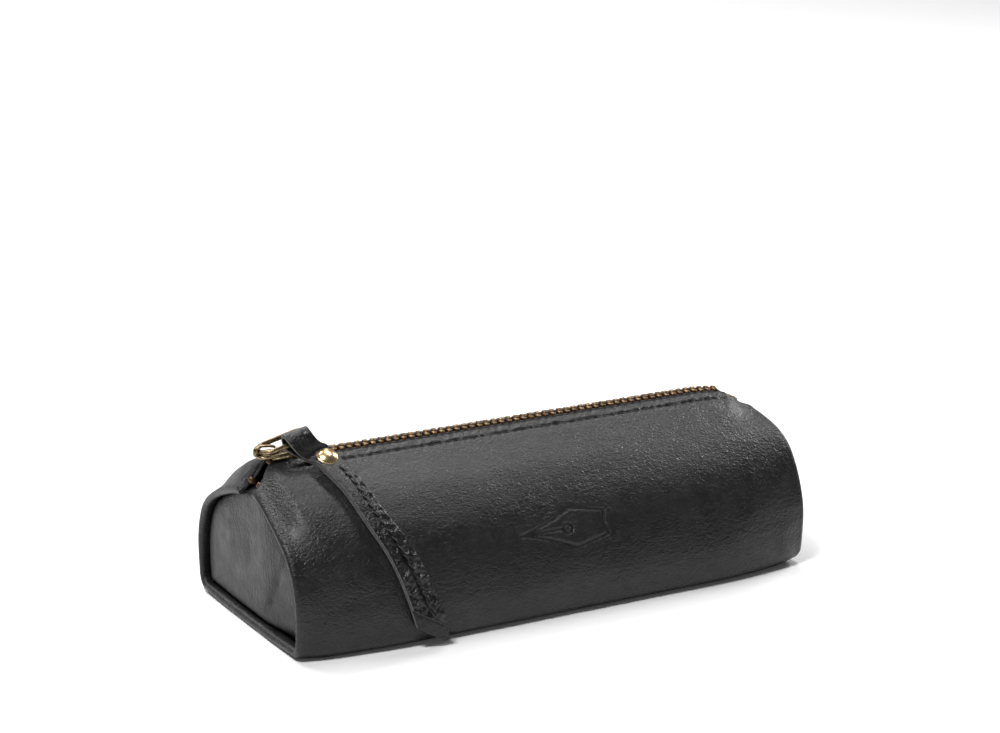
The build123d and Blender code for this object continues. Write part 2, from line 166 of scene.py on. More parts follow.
def noise(x, y, z=0.0):
    """Smooth noise from -1 to 1, with features about one unit apart."""
    x, y, z = np.broadcast_arrays(x, y, z)
    value = 0
    low = [np.floor(c).astype(int) for c in (x, y, z)]
    part = [smooth(0, 1, c - f) for c, f in zip((x, y, z), low)]
    for corner in np.ndindex(2, 2, 2):
        weight = 1
        for axis in range(3):
            weight = weight * (part[axis] if corner[axis] else 1 - part[axis])
        value = value + weight * LATTICE[tuple((low[a] + corner[a]) % LATTICE_SIZE for a in range(3))]
    return value


def spaced(*stretches):
    """Values along stretches of (start, end, step), without doubles."""
    parts = [np.linspace(a, b, max(2, round(abs(b - a) / step) + 1))[:-1] for a, b, step in stretches]
    return np.concatenate(parts + [[stretches[-1][1]]])


# ---------------------------------------------------------------- meshes
def add_object(name, data):
    """Puts a mesh, light or camera in the scene."""
    thing = bpy.data.objects.new(name, data)
    bpy.context.scene.collection.objects.link(thing)
    return thing


def make_object(name, points, faces, materials, body, nodes):
    """Smooth-shaded mesh from points in millimetres, riding on a body in place of CAD nodes."""
    mesh = bpy.data.meshes.new(name)
    mesh.from_pydata((np.asarray(points, float).reshape(-1, 3) * MM).tolist(), [], faces)
    mesh.validate()
    mesh.shade_smooth()
    for material in materials:
        mesh.materials.append(material)
    piece = add_object(name, mesh)
    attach(piece, body)
    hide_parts(*nodes)
    return piece


def grid_faces(rows, columns, wrap_rows=False, wrap_columns=False, start=0):
    """Quads of a grid of points, row by row, as an array of corner numbers."""
    r = np.arange(rows if wrap_rows else rows - 1)[:, None]
    c = np.arange(columns if wrap_columns else columns - 1)[None, :]
    r1, c1 = (r + 1) % rows, (c + 1) % columns
    quads = np.stack([r * columns + c, r1 * columns + c, r1 * columns + c1, r * columns + c1], -1)
    return (quads.reshape(-1, 4) + start).tolist()


def strip_faces(first, second, first_at, second_at):
    """Triangles between two rows of corner numbers, matched by their places along the strip."""
    faces = []
    i = j = 0
    while i < len(first) - 1 or j < len(second) - 1:
        ahead = j == len(second) - 1 or (i < len(first) - 1 and first_at[i + 1] <= second_at[j + 1])
        if ahead:
            faces.append((first[i], first[i + 1], second[j]))
            i += 1
        else:
            faces.append((first[i], second[j + 1], second[j]))
            j += 1
    return faces


class Batch:
    """Many small closed grids gathered into one mesh."""

    def __init__(self):
        self.points, self.faces, self.count = [], [], 0

    def tube(self, rings, closed=False):
        """Adds a tube through rings of points, capped at its ends unless it is closed."""
        rows, columns = rings.shape[:2]
        self.faces += grid_faces(rows, columns, wrap_rows=closed, wrap_columns=True, start=self.count)
        if not closed:
            first = [self.count + i for i in range(columns)]
            self.faces += [first, [i + (rows - 1) * columns for i in reversed(first)]]
        self.points.append(rings.reshape(-1, 3))
        self.count += rows * columns

    def make(self, name, materials, body, node):
        """Object of everything gathered, in place of one CAD node."""
        return make_object(name, np.concatenate(self.points), self.faces, materials, body, [node])


# ---------------------------------------------------------------- materials
WAVES_PER_UNIT = 3.14  # about how many bands Blender's wave texture has in a unit at a scale of 1


class Nodes:
    """Short way to build a material's node tree."""

    def __init__(self, name):
        self.material = bpy.data.materials.new(name)
        self.material.use_nodes = True
        self.tree = self.material.node_tree
        self.tree.nodes.clear()
        self.shader = self.add("ShaderNodeBsdfPrincipled")
        output = self.add("ShaderNodeOutputMaterial")
        self.link(self.shader.outputs[0], output.inputs["Surface"])
        self.place = self.add("ShaderNodeTexCoord").outputs["Object"]

    def add(self, kind, **settings):
        node = self.tree.nodes.new(kind)
        for key, value in settings.items():
            setattr(node, key, value)
        return node

    def link(self, source, target):
        self.tree.links.new(source, target)

    def set(self, **values):
        """Sets the shader's own sockets; an underscore stands for a space."""
        for key, value in values.items():
            self.shader.inputs[key.replace("_", " ")].default_value = value

    def scaled(self, stretch):
        node = self.add("ShaderNodeMapping")
        self.link(self.place, node.inputs["Vector"])
        node.inputs["Scale"].default_value = stretch
        return node.outputs[0]

    def noise(self, size, detail=2.0, stretch=(1, 1, 1), rough=0.5):
        """Noise with features of about size, in millimetres."""
        node = self.add("ShaderNodeTexNoise")
        self.link(self.scaled(stretch), node.inputs["Vector"])
        node.inputs["Scale"].default_value = 1 / (size * MM)
        node.inputs["Detail"].default_value = detail
        node.inputs["Roughness"].default_value = rough
        return node.outputs["Fac"]

    def cells(self, size, stretch):
        """Distance to the edges of cells of about size, in millimetres."""
        node = self.add("ShaderNodeTexVoronoi", feature="DISTANCE_TO_EDGE")
        self.link(self.scaled(stretch), node.inputs["Vector"])
        node.inputs["Scale"].default_value = 1 / (size * MM)
        return node.outputs["Distance"]

    def bands(self, size, direction, distortion=0.0):
        """Bands of about size, in millimetres, one after the other along an axis."""
        node = self.add("ShaderNodeTexWave", bands_direction=direction)
        self.link(self.place, node.inputs["Vector"])
        node.inputs["Scale"].default_value = 1 / (size * MM) / WAVES_PER_UNIT
        node.inputs["Distortion"].default_value = distortion
        return node.outputs["Fac"]

    def maths(self, operation, a, b):
        node = self.add("ShaderNodeMath", operation=operation)
        for socket, value in zip(node.inputs, (a, b)):
            if isinstance(value, (int, float)):
                socket.default_value = value
            else:
                self.link(value, socket)
        return node.outputs[0]

    def ranged(self, source, low, high, out_low, out_high):
        node = self.add("ShaderNodeMapRange")
        self.link(source, node.inputs["Value"])
        for key, value in (("From Min", low), ("From Max", high), ("To Min", out_low), ("To Max", out_high)):
            node.inputs[key].default_value = value
        return node.outputs[0]

    def colours(self, source, *stops):
        """Base colour from a ramp of (place, (r, g, b)) stops."""
        node = self.add("ShaderNodeValToRGB")
        self.link(source, node.inputs["Fac"])
        ramp = node.color_ramp
        while len(ramp.elements) < len(stops):
            ramp.elements.new(0.5)
        for element, (at, colour) in zip(ramp.elements, stops):
            element.position = at
            element.color = (*colour, 1)
        self.link(node.outputs["Color"], self.shader.inputs["Base Color"])

    def bump(self, *layers):
        """Bump from (height, depth in millimetres) layers, the coarsest first."""
        normal = None
        for height, depth in layers:
            node = self.add("ShaderNodeBump")
            node.inputs["Distance"].default_value = depth * MM
            node.inputs["Strength"].default_value = 1
            self.link(height, node.inputs["Height"])
            if normal is not None:
                self.link(normal, node.inputs["Normal"])
            normal = node.outputs["Normal"]
        self.link(normal, self.shader.inputs["Normal"])


def leather_material(name, tone=1.0, rough=(0.34, 0.5), grain=1.0, stretch=(0.75, 1, 1)):
    """Black leather: pebbled grain with pores, creases, faint mottling and a waxy finish."""
    m = Nodes(name)
    m.set(Specular_IOR_Level=0.4, Coat_Weight=0.08, Coat_Roughness=0.25)
    mottle = m.noise(14, detail=3)
    m.colours(mottle, (0.3, (0.007 * tone, 0.007 * tone, 0.0073 * tone)),
              (0.7, (0.012 * tone, 0.0118 * tone, 0.012 * tone)))
    wear = m.noise(5, detail=4)
    m.link(m.ranged(wear, 0.3, 0.7, *rough), m.shader.inputs["Roughness"])
    pebbles = m.ranged(m.cells(1.7, stretch), 0.0, 0.4, 0.0, 1.0)
    small = m.ranged(m.cells(0.85, stretch), 0.0, 0.35, 0.0, 1.0)
    m.bump((m.noise(9, detail=2), 0.4 * grain), (m.noise(2.6, detail=3, stretch=stretch), 0.2 * grain),
           (pebbles, 0.10 * grain), (small, 0.09 * grain), (m.noise(0.6, detail=2), 0.07 * grain))
    return m.material


def edge_material():
    """Raw cut edge of the strap: paler fibres under a worn black dye."""
    m = Nodes("leather_cut_edge")
    fibres = m.noise(0.35, detail=4, stretch=(1, 1, 0.4))
    m.colours(fibres, (0.3, (0.06, 0.06, 0.06)), (0.75, (0.2, 0.195, 0.19)))
    m.link(m.ranged(fibres, 0.2, 0.8, 0.5, 0.7), m.shader.inputs["Roughness"])
    m.bump((fibres, 0.05))
    return m.material


def thread_material():
    """Waxed black thread with fine fibres."""
    m = Nodes("waxed_thread")
    fibres = m.noise(0.2, detail=3)
    m.colours(fibres, (0.3, (0.004, 0.004, 0.005)), (0.8, (0.016, 0.017, 0.02)))
    m.link(m.ranged(fibres, 0.2, 0.8, 0.42, 0.65), m.shader.inputs["Roughness"])
    m.set(Sheen_Weight=0.05, Sheen_Roughness=0.4)
    m.bump((fibres, 0.03))
    return m.material


def tape_material():
    """Black woven zip tape: crossing ribs and a fuzz of fibres."""
    m = Nodes("woven_zip_tape")
    weave = m.maths("MULTIPLY", m.bands(0.55, "X"), m.bands(0.5, "Y", 0.4))
    m.colours(weave, (0.1, (0.006, 0.006, 0.008)), (0.8, (0.032, 0.031, 0.036)))
    m.link(m.ranged(m.noise(0.4), 0.2, 0.8, 0.65, 0.9), m.shader.inputs["Roughness"])
    m.set(Sheen_Weight=0.3, Sheen_Roughness=0.5)
    m.bump((weave, 0.09), (m.noise(0.15, detail=3), 0.03))
    return m.material


def brass_material(name, dark, light, rough, tarnish_size=1.6, dents=0.02, scratches=0.008):
    """Brass with tarnish in patches, fine polishing scratches and worn, brighter spots."""
    m = Nodes(name)
    m.set(Metallic=1.0)
    patches = m.noise(tarnish_size, detail=4, rough=0.6)
    m.colours(patches, (0.34, dark), (0.62, light))
    m.link(m.ranged(patches, 0.35, 0.65, rough[1], rough[0]), m.shader.inputs["Roughness"])
    m.bump((m.noise(0.8, detail=3), dents), (m.noise(0.22, detail=2, stretch=(0.25, 1, 1)), scratches))
    return m.material


BODY_LEATHER = leather_material("black_leather")
PANEL_LEATHER = leather_material("black_leather_panel", rough=(0.4, 0.56), stretch=(1, 1, 0.6))
STRAP_LEATHER = leather_material("black_leather_strap", tone=0.8, rough=(0.24, 0.4), grain=0.9,
                                 stretch=(1, 1, 1))
CUT_EDGE = edge_material()
THREAD = thread_material()
TAPE = tape_material()
ZIP_BRASS = brass_material("antique_zip_brass", (0.07, 0.043, 0.023), (0.30, 0.19, 0.10), (0.3, 0.5))
SLIDER_BRASS = brass_material("antique_slider_brass", (0.10, 0.07, 0.04), (0.38, 0.29, 0.165), (0.2, 0.4))
RIVET_BRASS = brass_material("polished_rivet_brass", (0.66, 0.46, 0.22), (0.84, 0.64, 0.36), (0.24, 0.3),
                             tarnish_size=4, dents=0.002, scratches=0.0005)

# ---------------------------------------------------------------- leather body
above_base = np.concatenate([[0], np.cumsum(np.linalg.norm(np.diff(RIDGE_OUTLINE, axis=0), axis=1))])
ridge_curve = Curve(RIDGE_OUTLINE, above_base, start=(1, 0))
end_curves = {place: Curve(points, above_base, start=(1, 0)) for place, points in END_OUTLINES.items()}
LIP_AT = BASE_HALF + ridge_curve.length  # distance from the base's centre line to a lip


def droop(x):
    """How far x lies past the straight part of the ridge, from 0 to 1 at the end of the case."""
    return smooth(RIDGE_HALF, END, np.abs(x))


def section(x, u):
    """Point and outward direction of the leather at x, u along its section from the base's centre."""
    x, u = np.broadcast_arrays(np.asarray(x, float), np.asarray(u, float))
    along = np.abs(u)
    parting = sum(MOUTH_SPREAD[end, side] * ((x < 0) == (end < 0)) * ((u < 0) == (side < 0))
                  for end, side in MOUTH_SPREAD)
    along = along - parting * droop(x) * smooth(LIP_AT - 2 * LIP_BAND, LIP_AT, along)
    on_base = along < BASE_HALF
    above = np.maximum(along - BASE_HALF, 0)
    start = np.where(x < 0, *(np.interp(above, above_base, TAPER_FROM[end]) for end in (-1, 1)))
    t = smooth(start, END, np.abs(x))[..., None]
    p0, d0 = ridge_curve(above)
    p1, d1 = np.zeros_like(p0), np.zeros_like(d0)
    for (end, side), curve in end_curves.items():
        here = ((x < 0) == (end < 0)) & ((u < 0) == (side < 0))
        p1[here], d1[here] = curve(above[here])
    point, slope = p0 * (1 - t) + p1 * t, d0 * (1 - t) + d1 * t
    y = np.where(on_base, along, point[..., 0])
    z = np.where(on_base, 0, point[..., 1])
    low = 1 - smooth(6, 24, z)
    corner = smooth(RIDGE_HALF - 4, END + 2, np.abs(x)) ** 1.5
    y = y * (1 - CORNER_DRAW * corner * low)
    z = z + low * CORNER_LIFT * (corner * smooth(15, 40, y) + smooth(70, END + 4, x) ** 1.4)
    z = z - RIDGE_SAG * smooth(76, 97, x) * smooth(45, 56, z)
    slope = np.where(on_base[..., None], (1.0, 0.0), unit(slope))
    side = np.where(u < 0, -1, 1)
    return np.stack([x, side * y, z], -1), np.stack([0 * x, side * slope[..., 1], -slope[..., 0]], -1)


def zip_height(x):
    """Height of the middle of the zip."""
    lips = (section(x, LIP_AT)[0][..., 2] + section(x, -LIP_AT)[0][..., 2]) / 2
    return lips - ZIP_SINK - ZIP_SAG * smooth(-RIDGE_HALF + 1, -PANEL_X, x)


# ---------------------------------------------------------------- debossed nib
NIB_LENGTH, NIB_HALF, NIB_X, NIB_Z = 34.0, 7.0, 1.0, 30.0
NIB_MARGIN = 3.0
LINE_DEPTH, LINE_HALF = 0.55, 0.55
LINE_EDGE_HEIGHT, LINE_EDGE_AT = 0.12, 1.2  # the leather swells a little beside a pressed line


def nib_lines():
    """Lines of a plain pen nib, lying along the case with its point to the left."""
    t = np.linspace(0, 1, 24)
    side = Curve([(0, 0), (0.14, 0.15), (0.36, 0.47), (0.54, 0.83), (0.62, 1.0)])
    edge = side(t * side.length)[0]
    shoulder = np.array([(0.62, 1.0), (1.0, 0.6)])
    heel = np.stack([1 - 0.035 * np.cos(math.pi * (t - 0.5)), 0.6 * (1 - 2 * t)], -1)
    hole = np.stack([0.55 + 0.05 * np.cos(2 * math.pi * t), 0.24 * np.sin(2 * math.pi * t)], -1)
    slit = np.stack([0.5 * t, 0 * t], -1)
    lines = [edge, edge * (1, -1), shoulder, shoulder * (1, -1), heel, hole, slit]
    return [line * (NIB_LENGTH, NIB_HALF) - (NIB_LENGTH / 2, 0) for line in lines]


def deboss(x, u):
    """Depth of the nib's lines in the front face."""
    middle = np.interp(NIB_Z, ridge_curve(above_base)[0][:-1, 1], above_base[:-1]) + BASE_HALF
    across, up = x - NIB_X, -u - middle
    depth = np.zeros(np.broadcast(x, u).shape)
    near = (np.abs(across) < NIB_LENGTH / 2 + NIB_MARGIN) & (np.abs(up) < NIB_HALF + NIB_MARGIN)
    points = np.stack([across[near], up[near]], -1)
    nearest = np.full(len(points), np.inf)
    for line in nib_lines():
        for a, b in zip(line, line[1:]):
            ab = b - a
            t = np.clip((points - a) @ ab / (ab @ ab), 0, 1)
            nearest = np.minimum(nearest, np.linalg.norm(points - a - t[:, None] * ab, axis=1))
    depth[near] = (LINE_DEPTH * bell(nearest, 0, LINE_HALF)
                   - LINE_EDGE_HEIGHT * bell(nearest, LINE_EDGE_AT, 0.5))
    return depth


BACK_NOISE = 40.0  # keeps the creases on the back apart from those in front
CREASE, FINE_CREASE = 0.28, 0.12
SEAM_DEPTH, SEAM_PULL = 0.5, 0.3  # how deep the thread draws the leather in, and how much more at a stitch
SOFT_WAVE, FOLD_WAVE = 0.26, 0.12


def relief(x, u):
    """Height of the leather's outside over its plain section."""
    from_lip = LIP_AT - np.abs(u)
    side = np.where(u < 0, 0.0, BACK_NOISE)
    band = smooth(0, 1.0, from_lip) * (1 - smooth(SEAM_FROM_LIP - 1.1, SEAM_FROM_LIP, from_lip))
    level = 1 - smooth(RIDGE_HALF - 6, RIDGE_HALF + 2, np.abs(x))
    pull = 0.5 + 0.5 * np.cos(2 * math.pi * x / STITCH_PITCH)
    creases = noise(x / 1.5 + from_lip * 0.35, from_lip / 3.5 + side)
    fine = noise(x / 0.8 - from_lip * 0.4, from_lip / 2.0 + side, 7)
    high = band * (0.2 + CREASE * creases + FINE_CREASE * fine)
    high = high - level * bell(from_lip, SEAM_FROM_LIP, 0.65) * (SEAM_DEPTH + SEAM_PULL * pull)
    high = high - level * 0.16 * bell(from_lip, SEAM_FROM_LIP + 1.7, 1.4) * pull * (1 + creases)
    sides = smooth(4, 12, np.abs(u) - BASE_HALF) * smooth(SEAM_FROM_LIP + 1, SEAM_FROM_LIP + 9, from_lip)
    soft = noise(x / 26, u / 21 + side, 3) + 0.5 * noise(x / 11, u / 13 + side, 5)
    high = high + sides * SOFT_WAVE * (soft - 0.8)
    gather = smooth(60, 96, np.abs(x)) * (1 - smooth(97, 99.5, np.abs(x)))
    folds = noise(x / 9, u / 4.5 + side, 13)
    high = high + sides * gather * FOLD_WAVE * (folds - 0.6)
    return high - deboss(x, u)


ROLL_STEPS = 8  # steps of the mesh round an end rim


def body_loop():
    """Rows of the body as (x, inset): along the outside, round a rim, back inside, round the other rim."""
    flat_end = END - RIM_R
    outside = spaced((-flat_end, -RIDGE_HALF, 0.5), (-RIDGE_HALF, RIDGE_HALF, 0.62),
                     (RIDGE_HALF, flat_end, 0.5))
    roll = np.linspace(0, math.pi, ROLL_STEPS + 1)[1:]
    right = [(flat_end + RIM_R * math.sin(a), RIM_R * (1 - math.cos(a))) for a in roll]
    right += [(PANEL_X - 0.6, 2 * RIM_R), (PANEL_X - 1.0, 2 * RIM_R - 0.4), (PANEL_X - 1.6, LEATHER)]
    inside = np.linspace(PANEL_X - 3, -(PANEL_X - 3), 34)
    left = [(-x, inset) for x, inset in reversed(right)]
    rows = [(x, 0) for x in outside] + right + [(x, LEATHER) for x in inside] + left
    return np.array(rows), len(outside)


def make_body():
    """Leather wrapped from lip to lip under the case, with rolled lips and end rims."""
    rows, outside_count = body_loop()
    back_u = spaced((0, BASE_HALF, 3.5), (BASE_HALF, BASE_HALF + 12, 0.9),
                    (BASE_HALF + 12, LIP_AT - LIP_BAND, 1.25), (LIP_AT - LIP_BAND, LIP_AT, 0.42))
    front_u = spaced((0, BASE_HALF, 3.5), (BASE_HALF, BASE_HALF + 12, 0.9),
                     (BASE_HALF + 12, BASE_HALF + 20, 1.0), (BASE_HALF + 20, BASE_HALF + 43, 0.46),
                     (BASE_HALF + 43, LIP_AT - LIP_BAND, 1.0),
                     (LIP_AT - LIP_BAND, LIP_AT, 0.42))
    u = np.concatenate([-front_u[::-1], back_u[1:]])
    x, inset = rows[:, :1], rows[:, 1:]
    point, out = section(x, u[None, :])
    outer = np.clip(1 - inset / LEATHER, 0, 1)
    body = point + out * (outer * relief(x + 0 * u, u + 0 * x) - inset)[..., None]
    half = (LEATHER + (2 * RIM_R - LEATHER) * smooth(PANEL_X - 1.7, PANEL_X - 0.5, np.abs(x))) / 2
    noses = []
    for column in (0, -1):
        centre = body[:, column] + out[:, column] * (inset - half)
        inward = np.array([0, -np.sign(u[column]), 0.05])
        for turn in np.radians((30, 55, 75)):
            nose = centre + out[:, column] * (half - inset) * math.cos(turn)
            noses.append(nose + inward * half * math.sin(turn) * 0.9)
    body = np.concatenate([np.stack(noses[2::-1], 1), body, np.stack(noses[3:], 1)], 1)
    columns = body.shape[1]
    faces = grid_faces(len(rows), columns, wrap_rows=True)
    rim_middle = outside_count + ROLL_STEPS // 2 - 1
    first_rim = len(rows) - ROLL_STEPS // 2 - 1
    outer_rows = [*range(first_rim, len(rows)), *range(rim_middle + 1)]
    inner_rows = list(range(rim_middle, first_rim + 1))[::-1]
    for column, flip in ((0, False), (columns - 1, True)):
        first = [r * columns + column for r in outer_rows]
        second = [r * columns + column for r in inner_rows]
        strip = strip_faces(first, second, rows[outer_rows, 0], rows[inner_rows, 0])
        faces += [tuple(reversed(f)) if flip else f for f in strip]
    make_object("leather_body", body, faces, [BODY_LEATHER], "case", ["body_wrap"])


make_body()


# ---------------------------------------------------------------- end panels
PANEL_GAP = 0.15  # dark groove between a panel and its rim
PANEL_MIDDLE_Z = 21.0
PANEL_BULGE, PANEL_SINK = 3.3, 1.1
PANEL_DENT = 2.3  # the panel is pushed in beside the front, high up
PANEL_CREASE, PANEL_STREAK, PANEL_WAVE = 0.45, 0.12, 0.6
PANEL_DEPTH = 3.2


def make_panel(side, name):
    """Soft leather panel, set inside the rim in a dark groove."""
    edge_u = spaced((-LIP_AT, LIP_AT, 1.3))
    edge, out = section(side * PANEL_X, edge_u)
    edge = edge - out * (2 * RIM_R + PANEL_GAP)
    top_y = np.linspace(edge[-1, 1], edge[0, 1], 8)[1:-1]
    top_z = np.linspace(edge[-1, 2], edge[0, 2], 8)[1:-1]
    top = np.stack([0 * top_y + side * PANEL_X, top_y, top_z], -1)
    edge = np.concatenate([edge, top])
    share = np.concatenate([[1.035, 1.02], 1 - np.linspace(0, 1, 34)[:-1] ** 1.6, [0.0]])
    share = share[:, None]
    y = edge[:, 1] * share
    z = PANEL_MIDDLE_Z + (edge[:, 2] - PANEL_MIDDLE_Z) * share
    rise = PANEL_BULGE * np.sqrt(np.clip(1 - np.clip(share, 0, 1) ** 6, 0, 1)) - PANEL_SINK
    near = smooth(8, 34, -y) * smooth(52, 40, z)
    streaks = noise(y / 5, z / 16, 2 + side) + 0.6 * noise(y / 2.2, z / 7, 5 + side)
    inner = 1 - smooth(0.8, 1.0, share)
    crease = PANEL_CREASE * bell(y + 0.55 * z, -8.0, 1.6) * smooth(4, 14, z)
    waves = PANEL_STREAK * streaks - crease + PANEL_WAVE * noise(y / 17, z / 15, 9)
    rise = rise - PANEL_DENT * near * (share < 1.01) + inner * waves
    rise[:2] = [[-2.4], [-1.9]]  # the hidden edge, tucked behind the rim
    front = np.stack([side * (PANEL_X + rise), y, z], -1)
    columns = len(edge)
    back = front[0] * (0, 1, 1) + np.array([side * (PANEL_X - PANEL_DEPTH), 0, 0])
    points = np.concatenate([back[None], front])
    faces = grid_faces(len(points), columns, wrap_columns=True)
    faces += [list(range(columns))]
    make_object(name, points, faces, [PANEL_LEATHER], "case", [name.replace("soft_", "")])


make_panel(-1, "soft_end_panel_left")
make_panel(1, "soft_end_panel_right")

# ---------------------------------------------------------------- zip
TAPE_END = PANEL_X - 0.9
TAPE_HALF = 14.0
TOOTH_PITCH = 2.95
TOOTH_HEIGHT = 3.0
ZIP_SPREAD = 1.7  # how much further the two rows part past the slider
TAPE_THICK = 0.6
TAPE_UNDER = 0.05  # gap between the leather's inside and the tape
CORD_Y, CORD_R = 2.45, (0.62, 0.66)  # middle of the tape's cord, and its radius across and up
RIB, RIB_PITCH = 0.07, 0.9
TOOTH, TOOTH_REACH = 1.6, 0.36  # length along the zip, and nearest to its middle
STOP, TOP_STOP_REACH, BOTTOM_STOP_REACH = 1.8, 0.7, 0.02
STOP_FROM_END = 1.1
ROWS = {"front": -1, "back": 1}

line_x = spaced((-TAPE_END, -RIDGE_HALF, 0.25), (-RIDGE_HALF, RIDGE_HALF, 3.0), (RIDGE_HALF, TAPE_END, 0.25))
zip_line = Curve(np.stack([line_x, 0 * line_x, zip_height(line_x)], -1))


def spread(x):
    """How far each row stands aside where the zip is open past the slider."""
    return ZIP_SPREAD * smooth(SLIDER_LOW[0] + 3.0, -TAPE_END, x)


def zip_frame(distance):
    """Point on the zip's line, the direction along it and the direction out of the case."""
    point, along = zip_line(np.atleast_1d(float(distance)))
    along = unit(along)[0]
    return point[0], along, np.array([-along[2], 0, along[0]])


def make_tape(row_name, row):
    """Woven tape under the leather, with the thick cord along its inner edge that holds the teeth."""
    band = np.linspace(TAPE_HALF, 3.3, 15)
    x = line_x[:, None]
    rings = []
    top = LEATHER + TAPE_UNDER
    for inset, ys in ((top, band), (top + TAPE_THICK, band[::-1])):
        u = row * (LIP_AT - (ys - MOUTH_HALF) * 1.05)
        point, out = section(x, u[None, :])
        layer = point - out * inset
        layer[..., 1] = ys
        rings.append(layer)
    cord_turn = np.radians(np.linspace(120, -120, 11))
    weave = RIB * np.sin(2 * math.pi * x / RIB_PITCH)
    cord_y = CORD_Y + (CORD_R[0] + weave) * -np.cos(cord_turn)[None, :]
    cord = np.stack([x + 0 * cord_y, cord_y, zip_height(x) + (CORD_R[1] + weave) * np.sin(cord_turn)], -1)
    points = np.concatenate([rings[0], cord, rings[1]], 1)
    points[..., 1] += spread(x) * smooth(9, 4, points[..., 1])
    points[..., 1] *= row
    batch = Batch()
    batch.tube(points)
    batch.make(f"woven_tape_{row_name}", [TAPE], "case", f"zip_tape_{row_name}")


def clamp(batch, distance, row, length, reach):
    """Rounded metal piece clamped round one tape's cord, from reach outwards."""
    point, along, up = zip_frame(distance)
    half = TOOTH_HEIGHT / 2
    outline = [(reach, half - 0.95), (reach + 0.1, half - 0.5), (reach + 0.4, half - 0.13),
               (reach + 0.9, half), (2.05, half), (2.45, half - 0.12), (2.68, half - 0.5),
               (2.68, 0.72), (2.2, 0.66), (1.9, 0.4)]
    outline += [(y, -z) for y, z in reversed(outline)]
    outline = np.array(outline)
    centre = np.array([1.6, 0.0])
    rings = []
    for at, shrink in ((-0.5, 0.80), (-0.46, 0.93), (-0.34, 1.0), (0.34, 1.0), (0.46, 0.93), (0.5, 0.80)):
        shape = centre + (outline - centre) * shrink
        y = row * (shape[:, 0] + spread(point[0]))
        rings.append(point + along * (at * length) + y[:, None] * np.array([0, 1, 0]) + shape[:, 1:] * up)
    batch.tube(np.array(rings))


tooth_count = round(2 * TEETH_END / TOOTH_PITCH)
first_tooth = zip_line.length / 2 - (tooth_count - 0.5) * TOOTH_PITCH / 2
for row_name, row in ROWS.items():
    make_tape(row_name, row)
    teeth = Batch()
    for i in range(tooth_count):
        clamp(teeth, first_tooth + (i + (row + 1) / 4) * TOOTH_PITCH, row, TOOTH, TOOTH_REACH)
    teeth.make(f"brass_teeth_{row_name}", [ZIP_BRASS], "case", f"zip_teeth_{row_name}")
    top_stop = Batch()
    clamp(top_stop, STOP_FROM_END, row, STOP, TOP_STOP_REACH)
    top_stop.make(f"brass_top_stop_{row_name}", [ZIP_BRASS], "case", f"zip_top_stop_{row_name}")

bottom_stop = Batch()
for row in ROWS.values():
    clamp(bottom_stop, zip_line.length - STOP_FROM_END, row, STOP, BOTTOM_STOP_REACH)
bottom_stop.make("brass_bottom_stop", [ZIP_BRASS], "case", "zip_bottom_stop")


# ---------------------------------------------------------------- thread
STITCH, STITCH_DIP = 2.7, 0.42
ZIP_THREAD_R, STRAP_THREAD_R = 0.34, 0.33
ZIP_SLANT, STRAP_SLANT = 0.14, 0.3  # how far a stitch leans across its row
PLY_DEPTH, PLY_TURNS = 0.13, 2.2


def stitch(batch, middle, along, out, radius, slant):
    """One stitch of twisted thread, which dips into the leather at both ends."""
    across = np.cross(out, along)
    along = unit(along + across * slant)
    across = np.cross(out, along)
    s = np.linspace(-1, 1, 13)[:, None]
    turn = np.linspace(0, 2 * math.pi, 10, endpoint=False)[None, :]
    ply = 1 + PLY_DEPTH * np.cos(2 * (turn - PLY_TURNS * s))
    taper = 1 - 0.45 * np.abs(s) ** 5
    size = (radius * ply * taper)[..., None]
    spine = middle + along * (s * STITCH / 2) - out * (STITCH_DIP * np.abs(s) ** 3)
    batch.tube(spine[:, None, :] + size * (np.cos(turn)[..., None] * across + np.sin(turn)[..., None] * out))


SEAM_HALF = cad_box("zip_stitching_front")[1][0]
SEAM_END = 1.2  # from the end of the CAD's seam to the middle of the last stitch
THREAD_LIFT = 0.24
for row_name, row in ROWS.items():
    seam = Batch()
    for x in spaced((-SEAM_HALF + SEAM_END, SEAM_HALF - SEAM_END, STITCH_PITCH)):
        u = row * (LIP_AT - SEAM_FROM_LIP)
        point, out = section(x, u)
        middle = point + out * (relief(np.array(x + STITCH_PITCH / 2), np.array(u)) + THREAD_LIFT)
        stitch(seam, middle, np.array([1.0, 0, 0]), out, ZIP_THREAD_R, ZIP_SLANT * row)
    seam.make(f"thread_zip_{row_name}", [THREAD], "case", f"zip_stitching_{row_name}")

for name in ("end_seam_stitching_left", "end_seam_stitching_right"):
    looks = frame["nodes"][name].data.materials
    looks.clear()
    looks.append(THREAD)


# ---------------------------------------------------------------- slider
def rounded_plate(batch, outline, low, high, edge=0.22):
    """Plate with rolled edges; outline is (x, y) points round it."""
    outline = np.array(outline)
    middle = outline.mean(0)
    away = unit(outline - middle)
    rings = []
    for z, inset in ((low, edge + 0.9), (low, edge), (low + edge * 0.3, edge * 0.3), (low + edge, 0),
                     (high - edge, 0), (high - edge * 0.3, edge * 0.3), (high, edge), (high, edge + 0.9)):
        ring = outline - away * inset
        rings.append(np.concatenate([ring, np.full((len(ring), 1), z)], 1))
    batch.tube(np.array(rings))


def squared_circle(power, count):
    """Coordinates of points round a unit circle, drawn out towards a square by a power over 2."""
    turn = np.linspace(0, 2 * math.pi, count, endpoint=False)
    circle = np.stack([np.cos(turn), np.sin(turn)])
    return np.sign(circle) * np.abs(circle) ** (2 / power)


